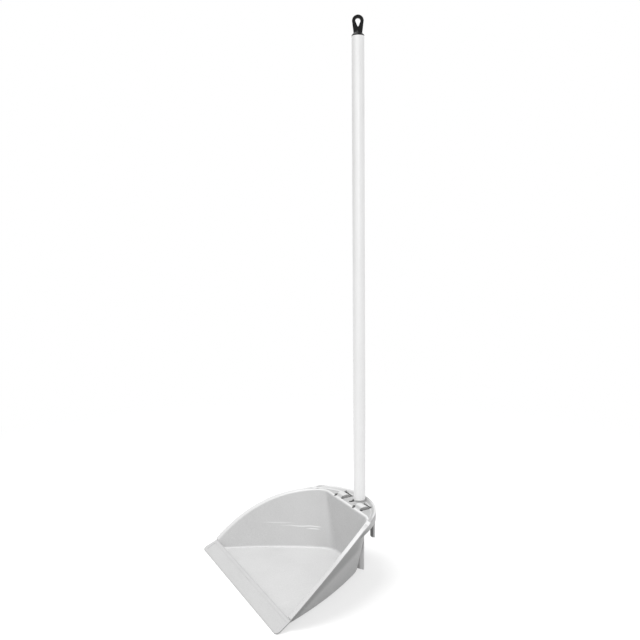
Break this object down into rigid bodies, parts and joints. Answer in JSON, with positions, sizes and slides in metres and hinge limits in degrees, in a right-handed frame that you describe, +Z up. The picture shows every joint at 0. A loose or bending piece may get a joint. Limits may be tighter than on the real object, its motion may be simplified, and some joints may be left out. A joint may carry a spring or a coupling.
{
  "type": "dustpan",
  "caption": "Free-standing moulded dustpan with a soft front lip, a flanged rim, a rear deck with a socket, and a long tube handle with a hanging eye.",
  "frame": {"origin": "on the ground, under the middle of the pan's length and width", "axes": "+X to the right seen from the front, +Y from the lip to the rear deck, +Z up along the handle"},
  "size_m": [0.343, 0.2626, 0.9715],
  "materials": {
    "pan_plastic": "fine speckle, satin",
    "lip_rubber": "matt",
    "tube_steel": "drawn tube",
    "sleeve_plastic": "smooth film",
    "cap_plastic": "satin",
    "plug_plastic": "satin"
  },
  "bodies": {
    "pan": {"pan_body": "pan_plastic", "lip_strip": "lip_rubber"},
    "handle": {"handle_tube": "tube_steel", "handle_sleeve": "sleeve_plastic", "hanging_cap": "cap_plastic", "end_plug": "plug_plastic"}
  },
  "joints": [
    {"name": "handle_pull", "type": "slide", "parent": "pan", "child": "handle", "axis": [0, 0, 1], "range_m": [0, 0.05]}
  ]
}
